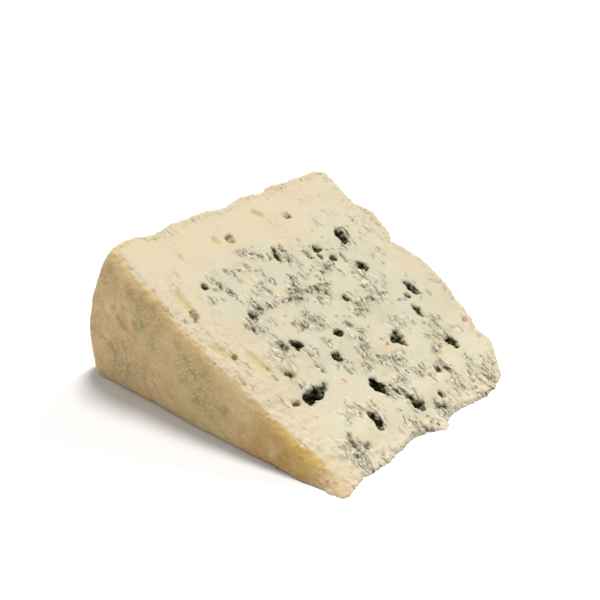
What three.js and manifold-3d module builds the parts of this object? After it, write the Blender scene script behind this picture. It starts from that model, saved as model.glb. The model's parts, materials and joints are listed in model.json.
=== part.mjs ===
// A wedge of blue cheese cut from a drum, lying on its lower cut face.
// Millimetres, +Z up. +X follows the drum's axis from one flat end to the other, +Y points from
// the crumbled thin edge to the rim. The origin is the middle of the footprint, on the floor.
import * as THREE from "three";
import { ImprovedNoise } from "three/addons/math/ImprovedNoise.js";
import { mergeVertices } from "three/addons/utils/BufferGeometryUtils.js";
import Module from "manifold-3d";

// The drum and the cut
const DRUM_RADIUS = 103.8; // axis to rim, at the upper cut
const DRUM_HEIGHT = 96.8; // between the two flat ends
const WEDGE_ANGLE = THREE.MathUtils.degToRad(26);
const THIN_EDGE = 5; // paste crumbled away at the drum's axis
const THIN_FOOT = 1.6; // how much further the thin edge reaches where it lies
const RIM_ROUND = 3.4; // rounding between the rim and each flat end
const RIM_BELLY = { amount: 3, power: 0.56 }; // swell of the rim between the cuts, widest low down
const RIM_FOOT = { amount: 1.8, reach: 8 }; // rounding of the rim where it lies

// The ends draw in toward the thin edge, where the paste sagged and broke:
// by an amount, within a reach of the axis, with a rounded corner, less by a share at the foot
const NEAR_DRAW = { amount: 4.6, reach: 47, power: 1.6, corner: 1.6, footShare: 0.9, foot: -0.6 };
const FAR_DRAW = { amount: 14, reach: 52, power: 1.4, corner: 8.5, footShare: 0, foot: 0.4 };

// Chips along the edges of the upper cut: place along the edge, depth (or a lump, below 0), width
const THIN_EDGE_CHIPS = [
  [4, -0.9, 4],
  [38, 2.6, 6],
  [47.5, -3.2, 4],
  [56, 1.6, 6],
  [72, -1.2, 6],
];
const RIM_CHIPS = [
  [11, -1.5, 5],
  [21, 1.2, 4],
  [48, 1.4, 5],
  [60, -0.8, 5],
  [66, 0.8, 2.5],
  [71.5, -1.3, 3],
];
const FAR_CHIPS = [
  [91, 1.2, 5],
  [85, 2.6, 3.5],
  [77, -1.2, 3],
  [64.5, 4, 3],
  [60, 1, 4],
  [43, -0.8, 7],
  [22, 1.5, 3],
  [17, -1.9, 3],
];
const FAR_END = DRUM_HEIGHT + 0.9; // plane that the far chips are read from
const CHIP_REACH = 12; // how far in from the edge a chip pulls the paste along

// Relief of each face: height and size of its waves, broad ones and fine ones,
// and its own layer of the noise
const CUT_RELIEF = { broad: 0.4, broadSize: 16, fine: 0.14, fineSize: 6.5, layer: 3.1 };
const NEAR_RELIEF = { broad: 0.45, broadSize: 17, fine: 0.2, fineSize: 7, layer: 11.2 };
const FAR_RELIEF = { ...NEAR_RELIEF, layer: 23.6 };
const RIM_RELIEF = { broad: 0.55, broadSize: 22, fine: 0.25, fineSize: 7, layer: 31.7 };
const RAGGED_EDGE = { amount: 1.6, size: 6.5, arcSize: 5, reach: 9, layer: 2.6 };
const FINE_LAYER = 37.3; // from the broad waves' layer to the fine waves'
const NOISE_GAIN = 2; // brings the noise close to -1 to 1

// Lattice of the body: steps along the axis, out to the rim and up through the wedge
const STEPS = { along: 36, out: 36, up: 8 };
const STEP_EASE = 0.05; // closer steps at the thin edge and at the rim
const ON_FACE = 0.001; // a lattice place this close to a face lies on it
const BELOW_FLOOR = THREE.MathUtils.degToRad(3); // cut off flat

// Eyes that open on the upper cut face:
// mm from the near end, mm from the drum's axis, length, width, turn in degrees
const UPPER_EYES = [
  [19.5, 31, 9.5, 5, 15],
  [25, 32, 2.5, 1.8, 5],
  [40, 23, 7, 4.5, 100],
  [44, 20, 6, 2, 100],
  [46.5, 13, 7.5, 4.5, 125],
  [60, 33, 6, 4, 130],
  [62, 34.5, 5, 2.5, 80],
  [28, 47, 5, 4, 105],
  [77, 23, 6, 3.5, 105],
  [82.5, 46, 7, 3, 90],
  [78.5, 44, 3, 1.8, 95],
  [76.5, 37.5, 7, 2.2, 95],
  [74, 61, 5, 3.5, 110],
  [29.5, 15, 7, 2.5, 85],
  [78, 74.5, 6.5, 4.5, 60],
  [50, 79, 7, 2.2, 70],
  [44, 44.5, 3.5, 3.2, 95],
  [36, 38, 3.5, 3, 100],
  [7.5, 70, 6, 2.5, 70],
  [24, 62, 5, 2, 85],
  [28, 63, 3.5, 1.8, 105],
  [63.5, 18, 4, 3.2, 90],
  [65, 74, 4, 3.2, 105],
  [60, 73, 4, 1.8, 90],
  [67, 68.5, 3.2, 3, 105],
  [18.5, 78, 3, 2.2, 105],
  [57.5, 53.5, 3.5, 2.5, 95],
  [40, 90, 4, 3.2, 85],
  [18, 40, 3.2, 2, 110],
  [12.5, 31.5, 2.8, 2.6, 90],
  [21, 10.5, 2.8, 2.4, 90],
  [56.5, 11, 3, 1.8, 110],
  [54.5, 7.5, 8, 1.8, 140],
  [66, 90, 3.8, 2.8, 115],
];
const EYE_DEPTH = { base: 0.6, perWidth: 0.7, thickness: 0.4 }; // never past this share of the paste
const EYE_LUMPS = { amount: 0.3, perRadius: 1.3, stepX: 5.1, stepY: 2.7 }; // each eye a step further
const FINE_EYE_LENGTH = 5.5; // longer eyes are drawn finer

// Eyes on the lower cut face, strewn by a seeded rule: ranges in mm, and width as a share of length
const LOWER_EYES = {
  count: 9,
  seed: 41,
  gap: 13,
  along: [10, 87],
  out: [30, 95],
  length: [3, 7.5],
  slender: [0.4, 0.8],
  firstLump: 50,
};

const PASTE_COLOUR = 0xe4d7b4;

const noise = new ImprovedNoise();
const wasm = await Module();
wasm.setup();

/** Broad and fine waves of one face at a place on it, in mm. */
function relief(face, a, b) {
  const broad = face.broad * noise.noise(a / face.broadSize, b / face.broadSize, face.layer);
  const fineLayer = face.layer + FINE_LAYER;
  const fine = face.fine * noise.noise(a / face.fineSize, b / face.fineSize, fineLayer);
  return NOISE_GAIN * (broad + fine);
}

/** How far chips set an edge back at a place along it, in mm. */
function chipped(chips, at) {
  const depths = chips.map(([place, depth, width]) => depth * Math.exp(-(((at - place) / width) ** 2)));
  return depths.reduce((sum, depth) => sum + depth, 0);
}

/** How far an edge stands in where it is rounded with a radius, at a distance from the corner. */
function rounding(radius, distance) {
  if (distance >= radius) return 0;
  const rest = radius - distance;
  return radius - Math.sqrt(Math.max(radius * radius - rest * rest, 0));
}

/** Distance of the rim from the drum's axis, swollen between the cuts and rounded at the floor. */
function rimAt(angle) {
  const share = Math.max(0, angle) / WEDGE_ANGLE;
  const belly = RIM_BELLY.amount * Math.sin(Math.PI * Math.pow(share, RIM_BELLY.power));
  const height = DRUM_RADIUS * Math.sin(Math.max(0, angle));
  const foot = rounding(RIM_FOOT.reach, height) * (RIM_FOOT.amount / RIM_FOOT.reach);
  return DRUM_RADIUS + belly - foot;
}

/** How far an end stands in from its plane, at a distance from the drum's axis and from the rim. */
function drawnIn(end, out, toRim, w) {
  const share = Math.max(0, 1 - out / end.reach);
  const sag = end.amount * Math.pow(share, end.power) * (1 - end.footShare * (1 - w));
  const corner = rounding(end.corner, out - THIN_EDGE);
  return sag + corner + rounding(RIM_ROUND, toRim) + end.foot * (1 - w);
}

/** A point of the wedge from its lattice place: u along the axis, t out to the rim, w up. */
function bodyPoint(u, t, w, target) {
  const eased = t - STEP_EASE * Math.sin(2 * Math.PI * t);
  const angle = THREE.MathUtils.lerp(-BELOW_FLOOR, WEDGE_ANGLE, w);
  const rim = rimAt(angle);
  const thinEdge = THIN_EDGE - THIN_FOOT * (1 - w);
  let out = THREE.MathUtils.lerp(thinEdge, rim, eased);
  const near = drawnIn(NEAR_DRAW, out, rim - out, w);
  const far = FAR_END - w * chipped(FAR_CHIPS, out) - drawnIn(FAR_DRAW, out, rim - out, w);
  let x = THREE.MathUtils.lerp(near, far, u);

  // The thin edge wanders and the rim is chipped at the upper cut; each takes the paste behind it along
  const toEdge = out - THIN_EDGE;
  const arc = out * angle;
  const wander = noise.noise(x / RAGGED_EDGE.size, arc / RAGGED_EDGE.arcSize, RAGGED_EDGE.layer);
  const rimPull = w * Math.max(0, 1 - (rim - out) / CHIP_REACH);
  const edgePull = Math.max(0, 1 - toEdge / CHIP_REACH);
  out -= rimPull * chipped(RIM_CHIPS, x);
  out += edgePull * chipped(THIN_EDGE_CHIPS, x);
  out += Math.max(0, 1 - toEdge / RAGGED_EDGE.reach) * RAGGED_EDGE.amount * wander;

  if (u < ON_FACE) x -= relief(NEAR_RELIEF, out, arc);
  if (u > 1 - ON_FACE) x += relief(FAR_RELIEF, out, arc);
  if (t > 1 - ON_FACE) out += relief(RIM_RELIEF, x, arc);
  const lift = w > 1 - ON_FACE ? relief(CUT_RELIEF, x, out) : 0;
  const y = out * Math.cos(angle) - lift * Math.sin(WEDGE_ANGLE);
  const z = out * Math.sin(angle) + lift * Math.cos(WEDGE_ANGLE);
  return target.set(x, y, z);
}

/** A closed solid from a three.js geometry, with its doubled corners merged. */
function solidOf(geometry) {
  const bare = geometry.clone();
  bare.deleteAttribute("normal");
  bare.deleteAttribute("uv");
  const merged = mergeVertices(bare, 1e-3);
  const vertProperties = new Float32Array(merged.attributes.position.array);
  const triVerts = new Uint32Array(merged.index.array);
  return new wasm.Manifold(new wasm.Mesh({ numProp: 3, vertProperties, triVerts }));
}

/** Moves every corner of a geometry by a rule that changes the vector it is given. */
function reshape(geometry, rule) {
  const place = new THREE.Vector3();
  const position = geometry.attributes.position;
  for (let i = 0; i < position.count; i += 1) {
    rule(place.fromBufferAttribute(position, i));
    position.setXYZ(i, place.x, place.y, place.z);
  }
  return geometry;
}

/** The wedge before its eyes are opened, cut flat where it lies. */
function wedgeBody() {
  const lattice = new THREE.BoxGeometry(1, 1, 1, STEPS.along, STEPS.out, STEPS.up);
  reshape(lattice, (p) => bodyPoint(p.x + 0.5, p.y + 0.5, p.z + 0.5, p));
  const depth = DRUM_RADIUS;
  const floor = new THREE.BoxGeometry(3 * DRUM_RADIUS, 3 * DRUM_RADIUS, depth);
  floor.translate(DRUM_HEIGHT / 2, DRUM_RADIUS / 2, -depth / 2);
  return solidOf(lattice).subtract(solidOf(floor));
}

/** One eye: a lumpy hollow, longer than wide, set in a face given by a frame of axes. */
function eye(frame, length, width, depth, turn, lumpNumber) {
  const lump = new THREE.IcosahedronGeometry(1, length >= FINE_EYE_LENGTH ? 2 : 1);
  reshape(lump, (p) => {
    const place = p.clone().multiplyScalar(EYE_LUMPS.perRadius);
    place.x += EYE_LUMPS.stepX * lumpNumber;
    place.y += EYE_LUMPS.stepY * lumpNumber;
    const swell = NOISE_GAIN * EYE_LUMPS.amount * noise.noise(place.x, place.y, place.z);
    return p.multiplyScalar(1 + swell);
  });
  lump.scale(length / 2, width / 2, depth);
  lump.rotateZ(turn);
  lump.applyMatrix4(frame);
  return solidOf(lump);
}

/** Frame of the upper cut face at a place on it: X along the axis, Y outward, Z out of the paste. */
function upperFrame(fromEnd, fromAxis) {
  const outward = new THREE.Vector3(0, Math.cos(WEDGE_ANGLE), Math.sin(WEDGE_ANGLE));
  const normal = new THREE.Vector3(0, -Math.sin(WEDGE_ANGLE), Math.cos(WEDGE_ANGLE));
  const frame = new THREE.Matrix4().makeBasis(new THREE.Vector3(1, 0, 0), outward, normal);
  return frame.setPosition(outward.multiplyScalar(fromAxis).setX(fromEnd));
}

/** Depth of an eye from its width, held to a share of the paste below it. */
function eyeDepth(width, fromAxis) {
  const paste = fromAxis * Math.tan(WEDGE_ANGLE);
  return Math.min(EYE_DEPTH.base + EYE_DEPTH.perWidth * width, EYE_DEPTH.thickness * paste);
}

/** The eyes that show on the upper cut face. */
function upperEyes() {
  return UPPER_EYES.map(([fromEnd, fromAxis, length, width, degrees], index) => {
    const turn = THREE.MathUtils.degToRad(degrees);
    const frame = upperFrame(fromEnd, fromAxis);
    return eye(frame, length, width, eyeDepth(width, fromAxis), turn, index + 1);
  });
}

/** The eyes of the lower cut face, strewn a gap apart. */
function lowerEyes() {
  THREE.MathUtils.seededRandom(LOWER_EYES.seed);
  const draw = (low, high) => THREE.MathUtils.lerp(low, high, THREE.MathUtils.seededRandom());
  const places = [];
  const eyes = [];
  while (eyes.length < LOWER_EYES.count) {
    const place = new THREE.Vector2(draw(...LOWER_EYES.along), draw(...LOWER_EYES.out));
    const length = draw(...LOWER_EYES.length);
    const width = length * draw(...LOWER_EYES.slender);
    const turn = draw(0, Math.PI);
    if (places.some((other) => other.distanceTo(place) < LOWER_EYES.gap)) continue;
    places.push(place);
    const frame = new THREE.Matrix4().makeRotationX(Math.PI).setPosition(place.x, place.y, 0);
    const depth = eyeDepth(width, place.y);
    eyes.push(eye(frame, length, width, depth, turn, LOWER_EYES.firstLump + eyes.length));
  }
  return eyes;
}

/** A three.js geometry of a finished solid, with its origin in the middle of the footprint. */
function geometryOf(solid) {
  const mesh = solid.getMesh();
  const corners = new Float32Array(3 * mesh.numVert);
  for (let i = 0; i < mesh.numVert; i += 1) {
    for (let k = 0; k < 3; k += 1) corners[3 * i + k] = mesh.vertProperties[mesh.numProp * i + k];
  }
  const geometry = new THREE.BufferGeometry();
  geometry.setAttribute("position", new THREE.BufferAttribute(corners, 3));
  geometry.setIndex(new THREE.BufferAttribute(new Uint32Array(mesh.triVerts), 1));
  geometry.computeBoundingBox();
  const middle = geometry.boundingBox.getCenter(new THREE.Vector3());
  geometry.translate(-middle.x, -middle.y, -geometry.boundingBox.min.z);
  geometry.computeVertexNormals();
  return geometry;
}

let wedge = wedgeBody();
for (const hollow of [...upperEyes(), ...lowerEyes()]) wedge = wedge.subtract(hollow);

const cheese = new THREE.Mesh(
  geometryOf(wedge),
  new THREE.MeshStandardMaterial({ color: PASTE_COLOUR, roughness: 0.6 }),
);
cheese.name = "cheese_wedge";

const part = new THREE.Group();
part.name = "blue_cheese_wedge";
part.add(cheese);
export default part;
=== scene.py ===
"""Dresses a wedge of blue cheese: torn cut faces, open eyes, mould and rind, lying on a white floor."""

import json
import logging
import math
from dataclasses import dataclass, field
from enum import Enum

import bmesh
import bpy
import numpy as np
from mathutils import Matrix, Vector, noise
from mathutils.bvhtree import BVHTree

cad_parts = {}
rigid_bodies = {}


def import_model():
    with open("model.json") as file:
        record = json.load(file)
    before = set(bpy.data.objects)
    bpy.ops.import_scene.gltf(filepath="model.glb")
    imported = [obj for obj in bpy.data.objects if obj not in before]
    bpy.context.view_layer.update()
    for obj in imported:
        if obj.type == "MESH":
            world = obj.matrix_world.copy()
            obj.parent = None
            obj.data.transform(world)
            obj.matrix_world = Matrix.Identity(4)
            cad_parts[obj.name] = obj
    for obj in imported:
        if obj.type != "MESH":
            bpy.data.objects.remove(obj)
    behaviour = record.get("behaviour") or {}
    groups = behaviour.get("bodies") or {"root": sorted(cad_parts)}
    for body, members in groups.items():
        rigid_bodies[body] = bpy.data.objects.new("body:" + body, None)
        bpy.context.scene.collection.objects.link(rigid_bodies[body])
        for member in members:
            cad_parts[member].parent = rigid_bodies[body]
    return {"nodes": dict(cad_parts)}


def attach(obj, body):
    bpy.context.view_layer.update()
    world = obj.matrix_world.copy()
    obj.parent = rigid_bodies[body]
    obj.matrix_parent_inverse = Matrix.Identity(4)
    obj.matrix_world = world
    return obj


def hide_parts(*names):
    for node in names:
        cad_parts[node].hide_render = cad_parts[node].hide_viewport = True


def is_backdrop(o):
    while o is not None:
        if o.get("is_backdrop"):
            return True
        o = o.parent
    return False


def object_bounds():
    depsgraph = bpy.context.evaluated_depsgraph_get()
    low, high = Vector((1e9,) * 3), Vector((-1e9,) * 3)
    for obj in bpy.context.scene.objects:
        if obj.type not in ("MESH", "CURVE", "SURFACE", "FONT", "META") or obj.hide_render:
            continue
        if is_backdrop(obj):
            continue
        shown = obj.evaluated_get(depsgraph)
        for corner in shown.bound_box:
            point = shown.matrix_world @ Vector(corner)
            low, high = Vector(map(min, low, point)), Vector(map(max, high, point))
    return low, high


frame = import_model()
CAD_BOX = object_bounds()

MM = 0.001
NODE = "cheese_wedge"
BODY = "root"

Socket = bpy.types.NodeSocket
Span = tuple[float, float]

log = logging.getLogger("cheese")


class Mask(str, Enum):
    """Values that the body's points carry for relief and colours."""

    SKIN = "skin"  # mm from the outside of the rind
    HEART = "heart"  # 1 in the inner paste, where mould grows
    VEIN = "vein"  # 1 along the listed streaks of mould
    HOLLOW = "hollow"  # mm below the face around, in the eyes
    DENT = "dent"  # mm that shallow bare dents sink into the face
    EDGE = "edge"  # 1 along the crumbled edges of the cut
    ROUND = "round"  # 1 along the worn edge between the cut and the near end
    MARK = "mark"  # 1 on the cracks and spots of the near end's rind
    TORN = "torn"  # 1 where the cut tore the paste
    MOULD = "mould"  # 1 where mould covers the paste
    HAZE = "haze"  # mould spread out into the paste


# Masks that the relief tree reads
MAPPED = (Mask.SKIN, Mask.HEART, Mask.VEIN, Mask.HOLLOW, Mask.EDGE, Mask.ROUND)


# Kinds of node: Blender's type, with the setting that makes the kind
ADD, TAKE, TIMES, TIMES_ADD, OVER, MOST, BELOW = (
    ("ShaderNodeMath", {"operation": name})
    for name in ("ADD", "SUBTRACT", "MULTIPLY", "MULTIPLY_ADD", "DIVIDE", "MAXIMUM", "LESS_THAN")
)
V_TAKE, V_TIMES, V_TIMES_ADD, V_SCALE, V_DOT, V_LENGTH = (
    ("ShaderNodeVectorMath", {"operation": name})
    for name in ("SUBTRACT", "MULTIPLY", "MULTIPLY_ADD", "SCALE", "DOT_PRODUCT", "LENGTH")
)
RANGE, SMOOTH = (("ShaderNodeMapRange", {"interpolation_type": name}) for name in ("LINEAR", "SMOOTHSTEP"))
BLEND, V_BLEND, TINT = (("ShaderNodeMix", {"data_type": name}) for name in ("FLOAT", "VECTOR", "RGBA"))
NOISE, NOISE_4D = (("ShaderNodeTexNoise", {"noise_dimensions": name}) for name in ("3D", "4D"))
CELLS, BORDER = (("ShaderNodeTexVoronoi", {"feature": name}) for name in ("F1", "DISTANCE_TO_EDGE"))
BLUR, V_BLUR = (("GeometryNodeBlurAttribute", {"data_type": name}) for name in ("FLOAT", "FLOAT_VECTOR"))
SPLIT, POSITION, MOVE = (
    (name, {}) for name in ("ShaderNodeSeparateXYZ", "GeometryNodeInputPosition", "GeometryNodeSetPosition")
)


@dataclass
class Graph:
    """A node tree in the making, with what its nodes start from."""

    tree: bpy.types.NodeTree
    read: dict[Mask, Socket] = field(default_factory=dict)  # the body's masks
    place: Socket | None = None  # points in mm
    upward: Socket | None = None  # mm over the upper cut face
    outward: Socket | None = None  # mm along that face from the axis
    given: bpy.types.NodeOutputs | None = None  # named inputs of the tree

    def add(self, kind: tuple[str, dict] | str, inputs: dict | tuple = (), **settings: object) -> Socket:
        """Adds a node with its settings and fills or links its inputs.

        Args:
            kind: kind of node, or Blender's name of its type.
            inputs: values, or output sockets to link, in order or by the input's name or number.
            settings: further options of the node itself.

        Returns:
            The node's first output that is in use, or None where it has no output.
        """
        type_name, presets = (kind, {}) if isinstance(kind, str) else kind
        node = self.tree.nodes.new(type_name)
        for name, value in {**presets, **settings}.items():
            setattr(node, name, value)
        for key, value in inputs.items() if isinstance(inputs, dict) else enumerate(inputs):
            if isinstance(value, Socket):
                self.tree.links.new(value, node.inputs[key])
            else:
                node.inputs[key].default_value = value
        return next((socket for socket in node.outputs if socket.enabled), None)

    def turned(self, tilt: float, sway: float) -> Socket:
        """Turns the points so that Y runs along a cut face, swayed by a soft noise.

        Args:
            tilt: turn about X, in radians.
            sway: how far the noise carries a point, in mm.

        Returns:
            The turned points in mm.
        """
        turn = {"Vector": self.place, "Angle": -tilt}
        turned = self.add("ShaderNodeVectorRotate", turn, rotation_type="X_AXIS")
        drift = self.add(NOISE, {"Vector": self.place, "Scale": 0.32, "Detail": 3.0})
        return self.add(V_TIMES_ADD, (drift.node.outputs["Color"], (2 * sway,) * 3, turned))


def linear(code: str) -> tuple[float, float, float, float]:
    """Turns an sRGB hex colour into Blender's linear one.

    Args:
        code: six hex digits.

    Returns:
        Linear red, green, blue and an alpha of 1.
    """
    parts = [int(code[i : i + 2], 16) / 255 for i in (0, 2, 4)]
    lit = [c / 12.92 if c <= 0.04045 else ((c + 0.055) / 1.055) ** 2.4 for c in parts]
    return lit[0], lit[1], lit[2], 1.0


def smooth_step(low: float, high: float, value: np.ndarray) -> np.ndarray:
    """Eases from 0 at low to 1 at high.

    Args:
        low: value that gives 0.
        high: value that gives 1.
        value: values to ease.

    Returns:
        Eased values from 0 to 1.
    """
    share = np.clip((value - low) / (high - low), 0, 1)
    return share * share * (3 - 2 * share)


def plain_mesh(piece: bpy.types.Object) -> None:
    """Turns a piece's modifiers into its own mesh and removes them.

    Args:
        piece: object whose modifiers are done.
    """
    depsgraph = bpy.context.evaluated_depsgraph_get()
    depsgraph.update()
    done = bpy.data.meshes.new_from_object(piece.evaluated_get(depsgraph))
    old = piece.data
    piece.modifiers.clear()
    piece.data = done
    bpy.data.meshes.remove(old)


def rows_of(items: bpy.types.bpy_prop_collection, name: str) -> np.ndarray:
    """Reads a vector of each item of a mesh.

    Args:
        items: points or normals.
        name: the vector's name.

    Returns:
        One row of x, y, z for each item.
    """
    flat = np.empty(3 * len(items), np.float32)
    items.foreach_get(name, flat)
    return flat.reshape(-1, 3).astype(float)


@dataclass(frozen=True)
class Drum:
    """The drum the wedge was cut from, in the frame, in mm."""

    near_end: float = -49.1
    height: float = 96.8
    axis_y: float = -53.98
    radius: float = 103.8
    angle: float = math.radians(26)

    @property
    def cut_normal(self) -> np.ndarray:
        """Direction out of the upper cut face."""
        return np.array([0, -math.sin(self.angle), math.cos(self.angle)])

    @property
    def cut_outward(self) -> np.ndarray:
        """Direction along the upper cut face from the axis to the rim."""
        return np.array([0, math.cos(self.angle), math.sin(self.angle)])

    def from_end(self, points: np.ndarray) -> np.ndarray:
        """Distance of points along the axis from the near end."""
        return points[:, 0] - self.near_end

    def from_axis(self, points: np.ndarray) -> np.ndarray:
        """Distance of points from the drum's axis."""
        return np.hypot(points[:, 1] - self.axis_y, points[:, 2])

    def above_cut(self, points: np.ndarray) -> np.ndarray:
        """Height of points over the plane of the upper cut face."""
        return (points - np.array([0, self.axis_y, 0])) @ self.cut_normal

    def along_cut(self, points: np.ndarray) -> np.ndarray:
        """Distance of points from the axis along the upper cut face."""
        return (points - np.array([0, self.axis_y, 0])) @ self.cut_outward


@dataclass(frozen=True)
class Streak:
    """A streak on a face from (x0, y0) to (x1, y1), in mm from two of the face's edges."""

    x0: float
    y0: float
    x1: float
    y1: float
    width: float

    def cover(self, x: np.ndarray, y: np.ndarray) -> np.ndarray:
        """How much the streak covers places on the face.

        Args:
            x: mm from the face's first edge.
            y: mm from its second edge.

        Returns:
            Cover from 0 to 1.
        """
        way = np.array([self.x1 - self.x0, self.y1 - self.y0])
        place = np.stack([x - self.x0, y - self.y0], -1)
        share = np.clip(place @ way / (way @ way), 0, 1)
        off = np.linalg.norm(place - share[:, None] * way, axis=1)
        return np.exp(-((off / self.width) ** 2))


@dataclass(frozen=True)
class Grid:
    """Uneven cells side by side, longer the way that the cut tore the paste, in mm."""

    across: float
    along: float

    def cells(self, graph: Graph, place: Socket) -> tuple[Socket, ...]:
        """Adds the cells' nodes to a tree.

        Args:
            graph: tree they go in.
            place: points in mm, turned along the cut.

        Returns:
            The points counted in cells, the same from their cell's middle, and each cell's random colour.
        """
        add = graph.add
        cell = (1 / self.across, 1 / self.along, 1 / self.across)
        grid = add(V_TIMES, (place, cell))
        drawn = add(CELLS, {"Vector": grid, "Scale": 1.0}).node.outputs
        return grid, add(V_TAKE, (grid, drawn["Position"])), drawn["Color"]


@dataclass(frozen=True)
class Tears(Grid):
    """Short tears that the cut left in the paste, running from the axis to the rim, in mm.

    One may open in each cell: a slit with a lip raised on one side. The slit and the lip have half sizes
    across and along, as shares of the cell.
    """

    depth: float
    lip: float
    share: float
    slit: Span = (0.2, 0.42)
    ridge: Span = (0.22, 0.4)
    strength: Span = (0.45, 1.0)

    def add(self, graph: Graph, place: Socket, torn: Socket) -> tuple[Socket, ...]:
        """Adds the tears' nodes to a tree.

        Args:
            graph: tree they go in.
            place: points in mm, turned along the cut.
            torn: how torn the paste is.

        Returns:
            Lift of the surface in mm, and where the slits and the lips are.
        """
        add = graph.add
        _, spot, colour = self.cells(graph, place)
        draw = add(SPLIT, (colour,)).node.outputs
        chance = add(TIMES, (torn, self.share))
        chance = add(TAKE, (chance, draw[0]))
        strength = add(RANGE, (draw[1], 0.0, 1.0, *self.strength))
        opened = add(RANGE, (chance, 0.0, 0.08, 0.0, strength))
        forms = []
        for half, aside, full in ((self.slit, 0, 0.45), (self.ridge, 1.3, 0.1)):
            form = add(V_TIMES_ADD, (spot, (1 / half[0], 1 / half[1], 0), (aside, 0, 0)))
            form = add(V_LENGTH, (form,))
            forms.append(add(SMOOTH, (form, 1.0, full, 0.0, opened)))
        slit, ridge = forms
        sunk = add(TIMES, (slit, -self.depth))
        return add(TIMES_ADD, (ridge, self.lip, sunk)), slit, ridge


@dataclass(frozen=True)
class Crumbs(Grid):
    """Crumbs of broken paste side by side, each with a face tilted its own way, in mm."""

    height: float
    parting: float = 0.12  # width of the cracks between them, as a share of a crumb

    def add(self, graph: Graph, place: Socket) -> tuple[Socket, ...]:
        """Adds the crumbs' nodes to a tree.

        Args:
            graph: tree they go in.
            place: points in mm, turned along the cut.

        Returns:
            How far each point stands up on its crumb, and how deep it lies in a crack.
        """
        add = graph.add
        grid, spot, colour = self.cells(graph, place)
        draw = add(SPLIT, (colour,)).node.outputs
        tilt = add(V_TIMES_ADD, (colour, (2, 2, 2), (-1, -1, -1)))
        face = add(V_DOT, (spot, tilt))
        level = add(RANGE, (draw[0], 0.0, 1.0, 0.25, 0.75))
        stand = add(TIMES_ADD, (face, 0.9, level), use_clamp=True)
        border = add(BORDER, {"Vector": grid, "Scale": 1.0})
        crack = add(RANGE, (border, self.parting, 0.25 * self.parting))
        return stand, add(RANGE, (draw[1], 0.25, 0.6, 0.0, crack))


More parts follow.
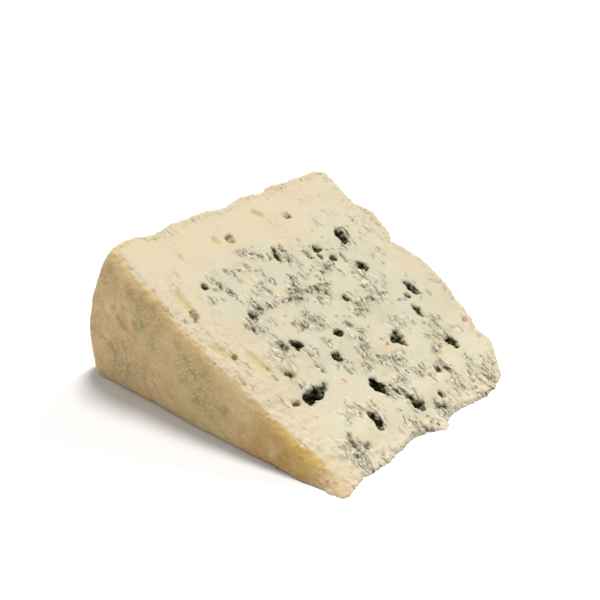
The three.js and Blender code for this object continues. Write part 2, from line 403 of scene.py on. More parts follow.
@dataclass(frozen=True)
class CheeseFinish:
    """Blue cheese cut by wire: cream paste, blue-green mould and a brushed tan rind.

    The paste is fatty and lets light in a few mm, so edges glow and pits stay soft. The mould is a dry
    dust that takes the gloss away, and the rind is a dry grainy skin, darker and browner than the paste.
    Sizes are in mm, and scales are for one mm.
    """

    drum: Drum
    paste: str = "D2C4A4"
    paste_warm: str = "D5C4A0"
    paste_green: str = "C7C5AB"
    # painted light: paler paste toward the thin edge, a painted brightening of its sloping face
    paste_thin_painted_light: str = "F6E8CA"
    # painted highlight: near-white painted on the tops of crumbs and on the tears' lips
    painted_highlight: str = "FFFBEE"
    haze: str = "AFAB94"
    mould: str = "5C5B3E"
    mould_pale: str = "929172"
    # painted shade: the eyes' mould is darkened toward this with depth, partly as denser mould
    mould_deep_shade: str = "3A391B"
    bare_hollow: str = "C9BC7C"
    shade: str = "9C8C66"
    rind: str = "DDBD8C"
    rind_light: str = "E7CFA2"
    rind_dark: str = "CAA876"
    rind_olive: str = "D3BD8A"
    # painted glow: golden bands along the cut and at the tip stand in for light through the rind's edge
    painted_edge_glow: str = "EFD092"
    painted_tip_glow: str = "D8B46A"
    rind_low: str = "BC9050"
    rind_nose: str = "D6BB92"
    # pale specks, partly painted highlight on raised specks; darker pits round them, partly painted shade
    rind_speck_and_highlight: str = "EFE2C2"
    rind_pit_and_shade: str = "A5865B"
    # grey for stains on the spots; the rind's cracks are darkened with it as painted shade
    stain_and_crack_shade: str = "857C5E"
    fine_tears: tuple[Tears, ...] = (
        Tears(1.5, 4.4, depth=0.6, lip=0.3, share=0.6, slit=(0.14, 0.43), ridge=(0.32, 0.46)),
        Tears(2.4, 6.6, depth=0.7, lip=0.3, share=0.6, slit=(0.11, 0.45), ridge=(0.25, 0.46)),
    )
    crumbs: Crumbs = Crumbs(1.2, 3.2, height=0.12)
    sway: float = 1.5  # of the tears
    crack_depth: float = 0.15
    crack_shade: float = 0.35
    painted_highlight_shares: Span = (0.4, 0.75)  # of painted highlight on crumbs outside and inside the heart
    broken_lip: float = 0.9
    vein_tears: float = 0.8
    dent_tint: float = 1.9
    cloud_scale: float = 0.06
    blotch_scale: float = 0.16
    thin_reach: Span = (40.0, 8.0)  # from the axis, where the paste is painted paler as painted light
    thin_painted_light_share: float = 0.33
    eye_rim: Span = (0.6, 0.8)  # depths where an eye's mould starts and is full
    # depths over which the eyes' mould is darkened as painted shade
    eye_shade_depths: Span = (0.8, 2.8)
    bare_depth: Span = (0.4, 1.4)
    rind_patch: float = 0.2  # scale of the mottling
    at_end: Span = (5.0, 12.0)  # from the near end's plane
    scraped: Span = (-6.0, -1.0)  # over the cut's plane, where rim and far end lose rind
    nose_skin: Span = (13.0, 6.0)  # from the axis, as the next two
    nose_tint: Span = (16.0, 8.0)
    tip_tint: Span = (40.0, 22.0)
    roughness: Span = (0.48, 0.75)  # of paste and rind

    def material(self) -> bpy.types.Material:
        """Builds the cheese's material, which reads the body's masks.

        Returns:
            The material.
        """
        material = bpy.data.materials.new("blue_cheese_wire_cut_paste_with_brushed_rind")
        material.use_nodes = True
        graph = Graph(material.node_tree)
        graph.tree.nodes.clear()
        add = graph.add
        for mask in Mask:
            value = add("ShaderNodeAttribute", attribute_name=mask.value)
            graph.read[mask] = value.node.outputs["Fac"]
        metres = add("ShaderNodeTexCoord").node.outputs["Object"]
        graph.place = add(V_SCALE, {0: metres, "Scale": 1 / MM})
        from_axis = add(V_TAKE, (graph.place, (0, self.drum.axis_y, 0)))
        ways = (self.drum.cut_normal, self.drum.cut_outward)
        graph.upward, graph.outward = (add(V_DOT, (from_axis, tuple(way))) for way in ways)
        lift, gap, painted_highlight, crumb = self._broken_paste(graph)
        # painted light: paler paste toward the thin edge, then painted highlights on crumb tops and tear
        # lips
        thin = add(RANGE, (graph.outward, *self.thin_reach, 0.0, self.thin_painted_light_share))
        colour = self._paste_colour(graph)
        for coat, tint in ((thin, self.paste_thin_painted_light), (painted_highlight, self.painted_highlight)):
            colour = add(TINT, {0: coat, 6: colour, 7: linear(tint)})
        colour = self._mould_colour(graph, colour, gap, crumb)
        rind_share = self._rind_share(graph)
        rind_colour, rind_lift = self._rind(graph)
        colour = add(TINT, {0: rind_share, 6: colour, 7: rind_colour})
        height = add(BLEND, {0: rind_share, 2: lift, 3: rind_lift})
        skin = {
            "Base Color": colour,
            "Roughness": add(RANGE, (rind_share, 0.0, 1.0, *self.roughness)),
            "IOR": 1.44,
            "Normal": add("ShaderNodeBump", {"Height": height, "Strength": 1.0, "Distance": MM}),
            "Subsurface Weight": 0.3,
            "Subsurface Radius": (1.0, 0.8, 0.5),
            "Subsurface Scale": 1.4 * MM,
            "Specular IOR Level": 0.35,
        }
        add("ShaderNodeOutputMaterial", {"Surface": add("ShaderNodeBsdfPrincipled", skin)})
        return material

    def _broken_paste(self, graph: Graph) -> tuple[Socket, ...]:
        """Adds the finest crumbs and tears, and where painted shade and painted highlights go on them.

        Args:
            graph: the material's tree.

        Returns:
            Height in mm, where gaps are, where painted highlights go on crumb tops and tear lips, and how
            far points stand up on their crumbs.
        """
        add = graph.add
        torn = graph.read[Mask.TORN]
        turned = graph.turned(self.drum.angle, self.sway)
        crumb, crack = self.crumbs.add(graph, turned)
        broken = add(RANGE, (torn, 0.0, 1.0, 0.1, 1.0))
        crack = add(TIMES, (crack, torn))
        gap = add(TIMES, (crack, self.crack_shade))
        # painted highlight on the highest parts of the crumbs
        painted_highlight = add(RANGE, (crumb, 0.6, 0.9, 0.0, 0.8))
        painted_highlight = add(TIMES, (painted_highlight, broken))
        stand = add(TIMES, (broken, self.crumbs.height))
        sunk = add(TIMES, (crack, -self.crack_depth))
        lift = add(TIMES_ADD, (crumb, stand, sunk))
        split = add(TIMES_ADD, (graph.read[Mask.VEIN], self.vein_tears, torn))
        for tears in self.fine_tears:
            more, slit, lip = tears.add(graph, turned, split)
            lift = add(ADD, (lift, more))
            gap = add(MOST, (gap, slit))
            # painted highlight on the tears' raised lips
            painted_highlight = add(MOST, (painted_highlight, lip))
        white = add(RANGE, (graph.read[Mask.HEART], 0.0, 1.0, *self.painted_highlight_shares))
        return lift, gap, add(TIMES, (painted_highlight, white)), crumb

    def _paste_colour(self, graph: Graph) -> Socket:
        """Adds cream paste with warm clouds, greenish inside and greyed where mould has spread.

        Args:
            graph: the material's tree.

        Returns:
            The colour.
        """
        add = graph.add
        cloud = add(NOISE, {"Vector": graph.place, "Scale": self.cloud_scale, "Detail": 2.0})
        cloud = add(RANGE, (cloud, 0.35, 0.65))
        colour = add(TINT, {0: cloud, 6: linear(self.paste), 7: linear(self.paste_warm)})
        blotch = add(NOISE, {"Vector": graph.place, "Scale": self.blotch_scale, "Detail": 3.0})
        green = add(RANGE, (blotch, 0.3, 0.68, 0.0, graph.read[Mask.HEART]))
        spread = add(RANGE, (graph.read[Mask.HAZE], 0.0, 0.6, 0.0, 0.55))
        for coat, tint in ((green, self.paste_green), (spread, self.haze)):
            colour = add(TINT, {0: coat, 6: colour, 7: linear(tint)})
        return colour

    def _mould_colour(self, graph: Graph, paste: Socket, gap: Socket, crumb: Socket) -> Socket:
        """Adds mould over the paste, darker in the depth of the eyes as denser mould and painted shade,
        painted shade in the gaps and slits, and yellow where an eye is bare.

        Args:
            graph: the material's tree.
            paste: colour of the paste.
            gap: where tears and the gaps between crumbs are.
            crumb: how far points stand up on their crumbs.

        Returns:
            The colour.
        """
        add = graph.add
        read = graph.read
        jag = add(CELLS, {"Vector": graph.place, "Scale": 1.1}).node.outputs["Color"]
        jag = add(TAKE, (add(SPLIT, (jag,)), 0.5))
        below = add(TIMES_ADD, (jag, self.broken_lip, read[Mask.HOLLOW]))
        # painted shade: the mould is painted darker deeper in the eyes
        eye_shade = add(RANGE, (below, *self.eye_shade_depths))
        shaded = add(RANGE, (read[Mask.HEART], 0.0, 1.0, 0.12, 0.7))
        shaded = add(TIMES, (gap, shaded))
        dented = add(TIMES_ADD, (read[Mask.DENT], self.dent_tint, below))
        bare = add(RANGE, (dented, *self.bare_depth, 0.0, 0.85))
        for coat, tint in ((shaded, self.shade), (bare, self.bare_hollow)):
            paste = add(TINT, {0: coat, 6: paste, 7: linear(tint)})
        powder = add(RANGE, (crumb, 0.5, 0.9, 0.0, 0.6))
        dark = add(RANGE, (powder, 0.0, 0.6, 1.0, 0.45))
        dark = add(TIMES, (dark, eye_shade))
        dust = add(TINT, {0: powder, 6: linear(self.mould), 7: linear(self.mould_pale)})
        dust = add(TINT, {0: dark, 6: dust, 7: linear(self.mould_deep_shade)})
        dusty = add(RANGE, (read[Mask.HAZE], 0.02, 0.25, 0.0, 0.7))
        dusty = add(TIMES, (dusty, gap))
        mouldy = add(MOST, (read[Mask.HEART], read[Mask.VEIN]))
        mouldy = add(RANGE, (mouldy, 0.03, 0.25))
        eye = add(RANGE, (below, *self.eye_rim, 0.0, mouldy))
        cover = add(MOST, (read[Mask.MOULD], dusty))
        cover = add(MOST, (cover, eye))
        return add(TINT, {0: cover, 6: paste, 7: dust})

    def _rind_share(self, graph: Graph) -> Socket:
        """Finds where the rind is: it wraps over the worn edges and is scraped off at rim and far end.

        Args:
            graph: the material's tree.

        Returns:
            How much of the surface is rind, from 0 to 1.
        """
        add = graph.add
        edge = add(NOISE, {"Vector": graph.place, "Scale": 0.25, "Detail": 2.0})
        wrapped = add(TIMES_ADD, (graph.read[Mask.ROUND], 4.0, 1.6))
        reach = add(TIMES_ADD, (edge, wrapped, 0.1))
        inside = add(OVER, (graph.read[Mask.SKIN], reach))
        share = add(SMOOTH, (inside, 0.35, 1.3, 1.0, 0.0))
        near, far = (self.drum.near_end + away for away in self.at_end)
        beyond = add(RANGE, (add(SPLIT, (graph.place,)), near, far))
        scraped = add(RANGE, (graph.upward, *self.scraped, 0.0, 0.8))
        scraped = add(TIMES, (scraped, beyond))
        at_end = add(TAKE, (1.0, beyond))
        nose = add(RANGE, (graph.outward, *self.nose_skin, 0.0, 0.8))
        nose = add(TIMES, (nose, at_end))
        share = add(MOST, (share, nose))
        return add(TIMES, (share, add(TAKE, (1.0, scraped))))

    def _rind(self, graph: Graph) -> tuple[Socket, ...]:
        """Adds the rind: mottled tan, with a painted golden glow along the cut and at the tip, specks, hair
        cracks and grey spots.

        Args:
            graph: the material's tree.

        Returns:
            Its colour, and the height of its fine relief in mm.
        """
        add = graph.add
        mottle = {"Vector": graph.place, "Scale": self.rind_patch, "Detail": 5.0, "Roughness": 0.6}
        patch = add(NOISE, mottle)
        colour = add("ShaderNodeValToRGB", (patch,))
        ramp = colour.node.color_ramp
        ramp.elements[0].position = 0.3
        ramp.elements[0].color = linear(self.rind_dark)
        ramp.elements[1].position = 0.7
        ramp.elements[1].color = linear(self.rind_light)
        ramp.elements.new(0.5).color = linear(self.rind)
        tone = add(NOISE, {"Vector": graph.place, "Scale": 0.05, "Detail": 2.0})
        tone = add(RANGE, (tone, 0.42, 0.6, 0.0, 0.6))
        colour = add(TINT, {0: tone, 6: colour, 7: linear(self.rind_olive)})
        colour, lift = self._rind_marks(graph, colour)
        # painted glow: a golden band along the top of the near end, wider toward the tip, stands in for
        # light through the edge
        widen = add(RANGE, (graph.outward, 100.0, 15.0, -2.0, 2.5))
        uneven = add(TIMES_ADD, (patch, 8.0, graph.upward))
        uneven = add(ADD, (uneven, widen))
        glow = add(RANGE, (uneven, -1.5, 4.0, 0.0, 0.95))
        pale = add(RANGE, (uneven, 1.5, 4.5, 0.0, 0.8))
        tip = add(RANGE, (graph.outward, *self.tip_tint))
        brown = add(RANGE, (patch, 0.4, 0.6, 0.95, 0.5))
        brown = add(TIMES, (tip, brown))
        gold = add(RANGE, (uneven, 1.0, 4.0, 0.0, tip))
        nose = add(RANGE, (graph.outward, *self.nose_tint, 0.0, 0.9))
        coats = (
            (glow, self.painted_edge_glow), (pale, self.paste_warm), (brown, self.rind_low),
            (gold, self.painted_tip_glow), (nose, self.rind_nose),
        )
        for coat, tint in coats:
            colour = add(TINT, {0: coat, 6: colour, 7: linear(tint)})
        return colour, lift

    def _rind_marks(self, graph: Graph, colour: Socket) -> tuple[Socket, ...]:
        """Adds clusters of pale specks with painted highlights and painted shade round them, hair cracks
        darkened as painted shade, and grey spots to the rind's colour.

        Args:
            graph: the material's tree.
            colour: colour under the marks.

        Returns:
            The marked colour, and the height of the rind's fine relief in mm.
        """
        add = graph.add
        place = graph.place
        grain = add(NOISE, {"Vector": place, "Scale": 1.3, "Detail": 4.0})
        cluster = add(NOISE, {"Vector": place, "Scale": 0.11, "Detail": 2.0})
        cluster = add(RANGE, (cluster, 0.46, 0.62))
        speck = add(CELLS, {"Vector": place, "Scale": 0.75})
        # darker pits round the raised specks, partly painted shade
        pit_and_shade = add(RANGE, (speck, 0.4, 0.7, 0.0, 0.45))
        pit_and_shade = add(TIMES, (pit_and_shade, cluster))
        speck = add(RANGE, (speck, 0.42, 0.15, 0.0, cluster))
        # pale specks, partly painted highlight on the raised specks
        pale = add(TIMES, (speck, 0.4))
        wander = add(NOISE, {"Vector": place, "Scale": 0.2, "Detail": 3.0})
        warped = add(V_TIMES_ADD, (wander.node.outputs["Color"], (7, 7, 7), place))
        seldom = add(RANGE, (wander, 0.53, 0.66))
        # hair cracks darkened as painted shade
        crack = add(BORDER, {"Vector": warped, "Scale": 0.045})
        crack = add(RANGE, (crack, 0.018, 0.006, 0.0, 0.45))
        crack = add(TIMES, (crack, seldom))
        cells = add(CELLS, {"Vector": warped, "Scale": 0.075}).node.outputs
        chosen = add(BELOW, (add(SPLIT, (cells["Color"],)), 0.45))
        spot = add(RANGE, (cells["Distance"], 0.15, 0.04, 0.0, 0.5))
        spot = add(TIMES, (spot, chosen))
        rubbed = add(RANGE, (grain, 0.35, 0.6, 0.2, 0.75))
        rubbed = add(TIMES, (rubbed, graph.read[Mask.MARK]))
        mark = add(MOST, (crack, spot))
        mark = add(MOST, (mark, rubbed))
        for coat, tint in ((pit_and_shade, self.rind_pit_and_shade), (pale, self.rind_speck_and_highlight), (mark, self.stain_and_crack_shade)):
            colour = add(TINT, {0: coat, 6: colour, 7: linear(tint)})
        lift = add(TIMES, (speck, 0.35))
        lift = add(TIMES_ADD, (grain, 0.5, lift))
        return colour, add(TIMES_ADD, (crack, -0.4, lift))


@dataclass
class CheeseBody:
    """The wedge itself: the solid's own shape, refined and torn as the real paste is. Sizes in mm."""

    drum: Drum = field(default_factory=Drum)
    voxel: float = 0.47
    triangles: int = 194_000
    fine_depth: float = 4.5
    soften: int = 3
    edge_soften: int = 110
    eye_blur: int = 24
    haze_blur: int = 70
    wear: Span = (2.5, 6.5)
    wear_end: float = 20.0
    feather: float = 0.45
    feather_reach: Span = (15.0, 5.0)
    foot_tuck: float = 0.6
    foot_height: float = 2.2
    off_floor: Span = (0.5, 5.0)
    dent_depth: float = 0.95
    seed: float = 7.0
    sway: float = 0.9
    patch: float = 8.0
    crumble: float = 0.35
    edge_crumble: float = 1.4
    ragged: float = 2.6
    crumbs: Crumbs = Crumbs(1.6, 4.0, height=0.2)
    rind_waves: float = 0.6
    rind_grain: float = 0.2
    eye_edge: Span = (0.9, 1.6)
    thin_edge: float = 9.0
    least_rind: float = 400.0
    on_cut: float = 0.6
    on_end: float = 0.8
    cut_band: float = 4.0
    end_band: float = 5.0
    lid_cell: float = 2.0
    lid_band: float = 1.3
    upper_band: float = 7.0
    lower_start: float = 20.0
    near_margin: Span = (9.0, 21.0)
    far_margin: Span = (4.0, 13.0)
    rim_margin: Span = (15.0, 30.0)
    tip_margin: Span = (-2.0, 12.0)
    heart_wave: float = 16.0
    heart_sway: float = 9.0
    near_edge: Span = (20.0, 6.0)
    near_edge_end: Span = (95.0, 60.0)
    rim_edge: Span = (5.0, 1.5)
    tip_edge: Span = (14.0, 6.0)
    tears: tuple[Tears, ...] = (
        Tears(3.2, 7.0, depth=1.2, lip=0.45, share=0.5, slit=(0.15, 0.44)),
        Tears(2.2, 4.2, depth=0.8, lip=0.3, share=0.45, slit=(0.17, 0.42)),
        Tears(5.0, 6.0, depth=1.4, lip=0.2, share=0.25, slit=(0.15, 0.19)),
    )
    # Streaks of mould and bare dents of the upper cut: mm from the near end and from the axis
    streaks: tuple[Streak, ...] = (
        Streak(39.5, 84, 45, 79, 1.6), Streak(53, 80, 53.5, 71, 1.2),
        Streak(80, 77, 77.5, 71.5, 1.8), Streak(23.5, 61.5, 31, 62.5, 1.1),
        Streak(31, 62.5, 49, 61.5, 1.1), Streak(49, 61.5, 57, 60.5, 0.7),
        Streak(64, 49.5, 71, 48.5, 1.5), Streak(57.5, 49, 56.5, 46.5, 1.0),
        Streak(40, 55, 42, 50, 1.8), Streak(49.5, 45.5, 51.5, 41, 1.2),
        Streak(37.5, 44.5, 37.5, 42, 0.9), Streak(28, 39, 28.5, 36.5, 0.9),
        Streak(37, 37, 38.5, 33.5, 1.0), Streak(48.5, 31, 55.5, 26, 1.0),
        Streak(24, 50, 24, 47.5, 1.0), Streak(65.5, 19, 66.5, 15.5, 1.4),
        Streak(51.5, 9, 54, 5, 1.4), Streak(16, 9, 16.5, 6, 1.2),
        Streak(23.5, 75.5, 24.5, 70.5, 1.2), Streak(29.5, 80, 30.5, 75, 1.0),
        Streak(39, 75.5, 39.5, 70, 1.0), Streak(46.5, 69, 46, 64, 1.0),
        Streak(63.5, 72, 62, 65, 0.7), Streak(76, 17, 76.5, 13, 1.2),
        Streak(78.5, 11, 78.5, 6, 1.4), Streak(68.5, 7, 70.5, 3, 1.2),
        Streak(38.5, 10, 43, 4, 1.2),
    )
    dents: tuple[Streak, ...] = (
        Streak(5.5, 58.5, 7.5, 52.5, 1.3), Streak(13, 51, 13, 45, 1.2),
        Streak(17, 42, 18.5, 38.5, 1.0), Streak(35, 92.5, 35, 90.5, 0.8),
        Streak(57, 96.5, 58, 94.5, 0.9), Streak(8.7, 79, 8.2, 74, 1.0),
    )
    # Cracks and spots of the near end: mm from the axis and from the floor
    rind_marks: tuple[Streak, ...] = (
        Streak(91, 29, 89, 25, 0.5), Streak(89, 25, 84, 21, 0.8),
        Streak(81, 25, 79.5, 24, 1.0), Streak(77.6, 26.2, 77, 25.4, 1.1),
        Streak(97, 15.4, 91.5, 12, 0.4), Streak(91.5, 12, 92, 8, 0.4),
        Streak(58.5, 22, 58, 21.5, 1.2), Streak(45, 10.5, 43.5, 10.2, 2.0),
        Streak(15.5, 3, 14, 3.2, 1.3),
    )
    piece: bpy.types.Object | None = None

    def build(self) -> bpy.types.Object:
        """Makes the body's mesh from the solid's and dresses it.

        Returns:
            The finished piece.
        """
        source, rind_faces = self._copy_solid()
        self.piece = bpy.data.objects.new("cheese_wedge_dressed", source)
        bpy.context.scene.collection.objects.link(self.piece)
        self._refine()
        self._map_zones(rind_faces)
        tree, values = self._relief_tree()
        modifier = self.piece.modifiers.new(tree.name, "NODES")
        modifier.node_group = tree
        for item in tree.interface.items_tree:
            if item.in_out == "INPUT" and item.name in values:
                modifier[item.identifier] = values[item.name]
        plain_mesh(self.piece)
        self.piece.data.shade_smooth()
        log.info("body: %d points, %d faces", len(self.piece.data.vertices), len(self.piece.data.polygons))
        return self.piece

    def _copy_solid(self) -> tuple[bpy.types.Mesh, BVHTree]:
        """Copies the solid's mesh, joins its triangles and finds its rind.

        The rind is the wide joined region of the rim and the ends.

        Returns:
            The joined mesh, and a search tree of its faces that are rind.
        """
        mesh = frame["nodes"][NODE].data.copy()
        mesh.materials.clear()
        work = bmesh.new()
        work.from_mesh(mesh)
        bmesh.ops.remove_doubles(work, verts=work.verts, dist=0.002 * MM)
        work.to_mesh(mesh)
        work.clear()
        work.from_mesh(mesh)
        cut_up, cut_down = Vector(self.drum.cut_normal), Vector((0, 0, -1))
        waiting = set()
        for face in work.faces:
            flat_on_cut = max(face.normal.dot(cut_up), face.normal.dot(cut_down)) > self.on_cut
            middle = face.calc_center_median() / MM
            at_axis = math.hypot(middle.y - self.drum.axis_y, middle.z) < self.thin_edge
            if not flat_on_cut and not (at_axis and abs(face.normal.x) < self.on_end):
                waiting.add(face)
        kept = []
        while waiting:
            region = [waiting.pop()]
            for face in region:
                beside = {f for e in face.edges for f in e.link_faces} & waiting
                waiting -= beside
                region.extend(beside)
            if sum(f.calc_area() for f in region) > self.least_rind * MM * MM:
                kept.extend([v.index for v in f.verts] for f in region)
        work.free()
        return mesh, BVHTree.FromPolygons([v.co for v in mesh.vertices], kept)

    def _refine(self) -> None:
        """Gives the body an even fine mesh, then thins it out below the upper cut face."""
        remesh = self.piece.modifiers.new("even", "REMESH")
        remesh.mode = "VOXEL"
        remesh.voxel_size = self.voxel * MM
        plain_mesh(self.piece)
        mesh = self.piece.data
        fine = self.drum.above_cut(rows_of(mesh.vertices, "co") / MM) > -self.fine_depth
        group = self.piece.vertex_groups.new(name="plain")
        group.add(np.nonzero(~fine)[0].tolist(), 1.0, "REPLACE")
        thin = self.piece.modifiers.new("thin", "DECIMATE")
        thin.ratio = self.triangles / (2 * len(mesh.polygons))
        thin.vertex_group = group.name
        plain_mesh(self.piece)
        self.piece.vertex_groups.clear()

    def _map_zones(self, rind_faces: BVHTree) -> None:
        """Keeps the masks of the body's zones on its points, and sinks dents, foot and thin edge.

        Args:
            rind_faces: the solid's rind.
        """
        mesh = self.piece.data
        drum = self.drum
        skin = np.array([rind_faces.find_nearest(v.co)[3] for v in mesh.vertices]) / MM
        points = rows_of(mesh.vertices, "co") / MM
        height = points[:, 2]
        from_end, along, above = drum.from_end(points), drum.along_cut(points), drum.above_cut(points)
        wave = np.array([noise.noise(v.co / (self.heart_wave * MM)) for v in mesh.vertices])
        sway = self.heart_sway * wave
        heart = (
            smooth_step(*self.near_margin, from_end + sway)
            * smooth_step(*self.far_margin, drum.height - from_end + sway)
            * smooth_step(*self.rim_margin, drum.radius - drum.from_axis(points) + sway)
            * smooth_step(*self.tip_margin, along)
        )
        near_cut = np.exp(-((above / self.cut_band) ** 2))
        wear = np.interp(along, (0, drum.radius), self.wear[::-1])
        worn = smooth_step(1.5, 0.2, skin / wear) * (from_end < self.wear_end)
        worn *= smooth_step(*self.off_floor, height) * np.exp(-((above / wear) ** 2))
        at_rim = smooth_step(*self.rim_edge, skin) * near_cut
        at_near = smooth_step(*self.near_edge, from_end) * smooth_step(*self.near_edge_end, along)
        at_tip = smooth_step(*self.tip_edge, along)
        on_end = np.exp(-((from_end / self.end_band) ** 2)) * (skin < 1)
        marks = [mark.cover(points[:, 1] - drum.axis_y, height) for mark in self.rind_marks]
        vein, dent = (
            near_cut * np.max([streak.cover(from_end, along) for streak in streaks], axis=0)
            for streaks in (self.streaks, self.dents)
        )
        dent *= self.dent_depth
        masks = {
            Mask.SKIN: skin,
            Mask.HEART: heart,
            Mask.VEIN: vein,
            Mask.HOLLOW: self._hollow(points, skin),
            Mask.DENT: dent,
            Mask.EDGE: np.max([0.55 * at_near * near_cut, at_rim, 0.7 * at_tip], axis=0),
            Mask.ROUND: worn,
            Mask.MARK: on_end * np.max(marks, axis=0),
        }
        for mask, values in masks.items():
            attribute = mesh.attributes.new(mask.value, "FLOAT", "POINT")
            attribute.data.foreach_set("value", values.astype(np.float32))
        tuck = self.foot_tuck * smooth_step(self.foot_height, 0, height) * (skin < 1)
        sunk = points - dent[:, None] * drum.cut_normal
        sunk -= tuck[:, None] * rows_of(mesh.vertex_normals, "vector") * (1, 1, 0)
        sunk[:, 2] *= 1 - self.feather * smooth_step(*self.feather_reach, along)
        mesh.vertices.foreach_set("co", (sunk * MM).astype(np.float32).ravel())

    def _hollow(self, points: np.ndarray, skin: np.ndarray) -> np.ndarray:
        """Measures how deep points lie below the cut face around them.

        Args:
            points: the body's points in mm.
            skin: their distance from the rind in mm.

        Returns:
            Depth in mm, which is 0 or less outside the eyes.
        """
        drum = self.drum
        height, along, from_end = drum.above_cut(points), drum.along_cut(points), drum.from_end(points)
        margin = 4
        cell = (np.stack([from_end, along], -1) / self.lid_cell).astype(int)
        cell = np.clip(cell + margin, 0, None)
        open_face = (height > -self.lid_band) & (skin > 0.5)
        sums = np.zeros((2, *(cell.max(0) + 1)))  # of heights, and of points
        for layer, values in zip(sums, (height, np.ones_like(height))):
            np.add.at(layer, tuple(cell[open_face].T), values[open_face])
        bell = np.exp(-0.5 * (np.arange(-5, 6) / 1.5) ** 2)
        for axis in (1, 2):
            sums = np.apply_along_axis(np.convolve, axis, sums, bell, "same")
        lid = (sums[0] / np.maximum(sums[1], 1e-6))[tuple(cell.T)]
        lips = np.full(cell[:, 0].max() + 1, drum.radius)
        np.minimum.at(lips, cell[open_face, 0], along[open_face])
        from_lip = along - lips[cell[:, 0]]
        inside = smooth_step(0.8, 2.5, skin) * smooth_step(1, 2.5, from_lip) * smooth_step(4, 7, from_end)
        upper = height > -self.upper_band
        lower = ~upper & (drum.from_axis(points) > self.lower_start)
        return np.maximum(np.where(upper, lid - height, 0), np.where(lower, points[:, 2], 0)) * inside

    def _relief_tree(self) -> tuple[bpy.types.NodeTree, dict[str, float]]:
        """Builds the tree that softens, tears and roughens the body and stores its mould.

        Returns:
            The tree, and the values of its named inputs.
        """
        tree = bpy.data.node_groups.new("torn_cheese", "GeometryNodeTree")
        tree.interface.new_socket("Geometry", in_out="INPUT", socket_type="NodeSocketGeometry")
        tree.interface.new_socket("Geometry", in_out="OUTPUT", socket_type="NodeSocketGeometry")
        values = {
            "Seed": self.seed,
            "Patch size": self.patch,
            "Crumble height": self.crumble,
            "Edge crumble": self.edge_crumble,
            "Ragged lip": self.ragged,
            "Rind waves": self.rind_waves,
            "Rind grain": self.rind_grain,
        }
        for name in values:
            tree.interface.new_socket(name, in_out="INPUT", socket_type="NodeSocketFloat")
        graph = Graph(tree)
        add = graph.add
        graph.given = add("NodeGroupInput").node.outputs
        for mask in MAPPED:
            named = {"Name": mask.value}
            graph.read[mask] = add("GeometryNodeInputNamedAttribute", named, data_type="FLOAT")
        metres = add(POSITION)
        graph.place = add(V_SCALE, {0: metres, "Scale": 1 / MM})
        inside = add(RANGE, (graph.read[Mask.SKIN], 0.6, 2.0))
        eye = add(SMOOTH, (graph.read[Mask.HOLLOW], *self.eye_edge))
        near_eye = add(BLUR, {0: eye, "Iterations": self.eye_blur, "Weight": 1.0})
        keep = add(RANGE, (near_eye, 0.05, 0.4, 0.8, 0.1))
        shape = graph.given["Geometry"]
        for times, weight in ((self.soften, keep), (self.edge_soften, graph.read[Mask.ROUND])):
            soft = add(V_BLUR, {0: metres, "Iterations": times, "Weight": weight})
            shape = add(MOVE, {"Geometry": shape, "Position": soft})
        torn = self._torn(graph, near_eye, inside)
        turned = graph.turned(self.drum.angle, self.sway)
        lift, slit, _ = self.tears[0].add(graph, turned, torn)
        for tears in self.tears[1:]:
            more, cut, _ = tears.add(graph, turned, torn)
            lift = add(ADD, (lift, more))
            slit = add(MOST, (slit, cut))
        lift = self._roughness(graph, turned, torn, inside, lift)
        offset = add(TIMES, (lift, MM))
        offset = add(V_SCALE, {0: add("GeometryNodeInputNormal"), "Scale": offset})
        shape = self._store_mould(graph, shape, eye, slit, torn)
        shape = add(MOVE, {"Geometry": shape, "Offset": offset})
        shape = self._ragged_lips(graph, shape, near_eye, torn)
        end = add(SPLIT, (add(POSITION),)).node.outputs
        height = add(MOST, (end["Z"], 0.0))  # nothing reaches below the floor
        pressed = add("ShaderNodeCombineXYZ", (end["X"], end["Y"], height))
        shape = add(MOVE, {"Geometry": shape, "Position": pressed})
        shape = add("GeometryNodeRealizeInstances", (shape,))
        dressed = {"Geometry": shape, "Material": CheeseFinish(self.drum).material()}
        add("NodeGroupOutput", (add("GeometryNodeSetMaterial", dressed),))
        return tree, values

    def _torn(self, graph: Graph, near_eye: Socket, inside: Socket) -> Socket:
        """Adds where the paste is torn: round eyes, along streaks and in patches.

        Args:
            graph: the relief tree.
            near_eye: how near the eyes are.
            inside: where there is paste and not rind.

        Returns:
            How torn the paste is, from 0 to 1.
        """
        add = graph.add
        read = graph.read
        seeded = {"Vector": graph.place, "W": graph.given["Seed"]}
        scale = add(OVER, (1.0, graph.given["Patch size"]))
        patch = add(NOISE_4D, {**seeded, "Scale": scale, "Detail": 2.0})
        patch = add(SMOOTH, (patch, 0.46, 0.68))
        speck = add(NOISE_4D, {**seeded, "Scale": 0.3, "Detail": 1.0})
        speck = add(RANGE, (speck, 0.6, 0.7, 0.0, 0.7))
        patch = add(MOST, (patch, speck))
        heart = add(RANGE, (read[Mask.HEART], 0.0, 1.0, 0.22, 1.0))
        torn = add(TIMES, (patch, heart))
        for cause, weight in ((read[Mask.EDGE], 0.4), (near_eye, 1.2), (read[Mask.VEIN], 1.0)):
            torn = add(TIMES_ADD, (cause, weight, torn))
        torn = add("ShaderNodeClamp", (torn,))
        return add(TIMES, (torn, inside))

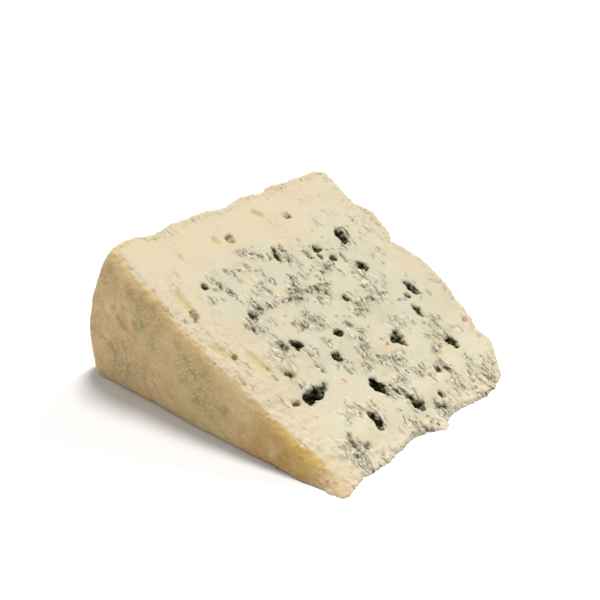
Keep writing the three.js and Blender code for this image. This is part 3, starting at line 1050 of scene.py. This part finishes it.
    def _roughness(self, graph: Graph, turned: Socket, torn: Socket, inside: Socket, lift: Socket) -> Socket:
        """Adds crumbly waves to torn paste, and slow waves and a pebbly grain to the rind.

        Args:
            graph: the relief tree.
            turned: points in mm, turned along the cut.
            torn: how torn the paste is.
            inside: where there is paste and not rind.
            lift: lift of the surface so far, in mm.

        Returns:
            Lift of the surface in mm.
        """
        add = graph.add
        given = graph.given
        seeded = {"Vector": graph.place, "W": given["Seed"], "Detail": 3.0}
        grid = add(V_TIMES, (turned, (0.6, 0.3, 0.6)))
        rough = add(NOISE_4D, {**seeded, "Vector": grid, "Scale": 1.0, "Roughness": 0.6})
        rough = add(TAKE, (rough, 0.5))
        crumbly = add(RANGE, (torn, 0.0, 1.0, 0.03, 1.0))
        crumbly = add(TIMES, (crumbly, given["Crumble height"]))
        crumb, _ = self.crumbs.add(graph, turned)
        stand = add(TIMES, (torn, self.crumbs.height))
        chip = add(NOISE_4D, {**seeded, "Scale": 0.55, "Roughness": 0.6})
        chip = add(TAKE, (chip, 0.52))
        broken = add(TIMES, (graph.read[Mask.EDGE], given["Edge crumble"]))
        wave = add(NOISE_4D, {**seeded, "Scale": 0.16})
        wave = add(TAKE, (wave, 0.5))
        wave = add(TIMES, (wave, given["Rind waves"]))
        pebble = add(CELLS, {"Vector": graph.place, "Scale": 0.62})
        pebble = add(TAKE, (0.5, pebble))
        wave = add(TIMES_ADD, (pebble, given["Rind grain"], wave))
        rind = add(TAKE, (1.0, inside))
        for form, height in ((rough, crumbly), (crumb, stand), (chip, broken), (wave, rind)):
            lift = add(TIMES_ADD, (form, height, lift))
        return lift

    def _store_mould(self, graph: Graph, shape: Socket, eye: Socket, slit: Socket, torn: Socket) -> Socket:
        """Stores where mould covers the paste, how it spreads and where the paste is torn.

        Args:
            graph: the relief tree.
            shape: geometry to store it on.
            eye: where the eyes are.
            slit: where the tears' slits are.
            torn: how torn the paste is.

        Returns:
            The geometry with the stored values.
        """
        add = graph.add
        mouldy = add(MOST, (graph.read[Mask.HEART], graph.read[Mask.VEIN]))
        mould = add(TIMES, (slit, mouldy))
        source = add(MOST, (eye, slit))
        source = add(TIMES, (source, mouldy))
        source = add(TIMES_ADD, (graph.read[Mask.VEIN], 0.6, source))
        haze = add(BLUR, {0: source, "Iterations": self.haze_blur, "Weight": 1.0})
        for mask, value in ((Mask.TORN, torn), (Mask.MOULD, mould), (Mask.HAZE, haze)):
            stored = {"Geometry": shape, "Name": mask.value, "Value": value}
            shape = add("GeometryNodeStoreNamedAttribute", stored, data_type="FLOAT", domain="POINT")
        return shape

    def _ragged_lips(self, graph: Graph, shape: Socket, near_eye: Socket, torn: Socket) -> Socket:
        """Shakes the paste round the eyes, so that their lips are broken.

        Args:
            graph: the relief tree.
            shape: geometry to shake.
            near_eye: how near the eyes are.
            torn: how torn the paste is.

        Returns:
            The shaken geometry.
        """
        add = graph.add
        metres = add(POSITION)
        soft = {"Vector": metres, "Scale": 0.42 / MM, "Detail": 3.0, "Roughness": 0.6}
        soft = add(NOISE, soft).node.outputs["Color"]
        block = add(CELLS, {"Vector": metres, "Scale": 0.6 / MM}).node.outputs["Color"]
        shake = add(V_BLEND, {0: 0.35, 4: soft, 5: block})
        shake = add(V_TAKE, (shake, (0.5,) * 3))
        loose = add(TIMES, (torn, 0.2))
        loose = add(MOST, (near_eye, loose))
        amount = add(TIMES, (loose, graph.given["Ragged lip"]))
        amount = add(TIMES, (amount, 4 * MM))
        offset = add(V_SCALE, {0: shake, "Scale": amount})
        return add(MOVE, {"Geometry": shape, "Offset": offset})


@dataclass(frozen=True)
class Lamp:
    """A far lamp: light on a square metre; width of its source, height and turn from +X, in degrees."""

    name: str
    power: float
    spread: float
    height: float
    turn: float

    def build(self) -> None:
        """Makes the lamp."""
        height, turn = math.radians(self.height), math.radians(self.turn)
        flat = math.cos(height)
        toward = Vector((flat * math.cos(turn), flat * math.sin(turn), math.sin(height)))
        light = bpy.data.lights.new(self.name, "SUN")
        light.energy = self.power
        light.angle = math.radians(self.spread)
        lamp = bpy.data.objects.new(self.name, light)
        lamp.rotation_euler = toward.to_track_quat("Z", "Y").to_euler()
        bpy.context.scene.collection.objects.link(lamp)


@dataclass(frozen=True)
class Studio:
    """White floor, soft light from above and to the right, and the photograph's viewpoint. In mm."""

    azimuth: float = math.radians(-48.2)
    elevation: float = math.radians(26.1)
    distance: float = 328.3
    aim: tuple[float, float, float] = (-0.1, 5.84, 21.9)
    view: float = math.radians(32)
    floor: float = 3000.0
    floor_colour: str = "F5F5F5"
    sky: float = 0.42
    lamps: tuple[Lamp, ...] = (
        Lamp("softbox", power=2.2, spread=17, height=75, turn=10),
        Lamp("rake", power=0.65, spread=9, height=46, turn=6),
    )

    def build(self) -> None:
        """Makes the floor, the lights and the camera."""
        scene = bpy.context.scene
        scene.view_settings.view_transform = "Standard"
        self._floor()
        self._light()
        a, e = self.azimuth, self.elevation
        back = Vector((math.sin(a) * math.cos(e), -math.cos(a) * math.cos(e), math.sin(e)))
        right = Vector((math.cos(a), math.sin(a), 0))
        axes = Matrix((right, back.cross(right), back)).transposed()
        lens = bpy.data.cameras.new("camera")
        lens.sensor_width = 36
        lens.lens = lens.sensor_width / 2 / math.tan(self.view / 2)
        lens.clip_start = 0.01
        camera = bpy.data.objects.new("camera", lens)
        eye = Vector(self.aim) * MM + back * self.distance * MM
        camera.matrix_world = Matrix.Translation(eye) @ axes.to_4x4()
        scene.collection.objects.link(camera)
        scene.camera = camera

    def _floor(self) -> None:
        """Makes the wide white floor."""
        mesh = bpy.data.meshes.new("floor")
        half = self.floor * MM / 2
        corners = [(-half, -half, 0), (half, -half, 0), (half, half, 0), (-half, half, 0)]
        mesh.from_pydata(corners, [], [(0, 1, 2, 3)])
        material = bpy.data.materials.new("white_paper_ground")  # matt, so that it keeps no highlight
        material.use_nodes = True
        shader = material.node_tree.nodes["Principled BSDF"]
        shader.inputs["Base Color"].default_value = linear(self.floor_colour)
        shader.inputs["Roughness"].default_value = 0.9
        shader.inputs["Specular IOR Level"].default_value = 0.1
        mesh.materials.append(material)
        floor = bpy.data.objects.new("floor", mesh)
        bpy.context.scene.collection.objects.link(floor)
        floor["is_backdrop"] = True

    def _light(self) -> None:
        """Makes white surroundings and the lamps."""
        world = bpy.data.worlds.new("white_room")
        world.use_nodes = True
        ground = world.node_tree.nodes["Background"]
        ground.inputs["Color"].default_value = (1, 1, 1, 1)
        ground.inputs["Strength"].default_value = self.sky
        bpy.context.scene.world = world
        for lamp in self.lamps:
            lamp.build()


def main() -> None:
    """Builds the stage and the cheese."""
    logging.basicConfig(level=logging.INFO, format="%(name)s: %(message)s")
    Studio().build()
    piece = CheeseBody().build()
    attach(piece, BODY)
    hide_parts(NODE)
    boxes = {"cad": CAD_BOX, "visual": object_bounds()}
    {name: [list(corner) for corner in box] for name, box in boxes.items()}


if __name__ == "__main__":
    main()
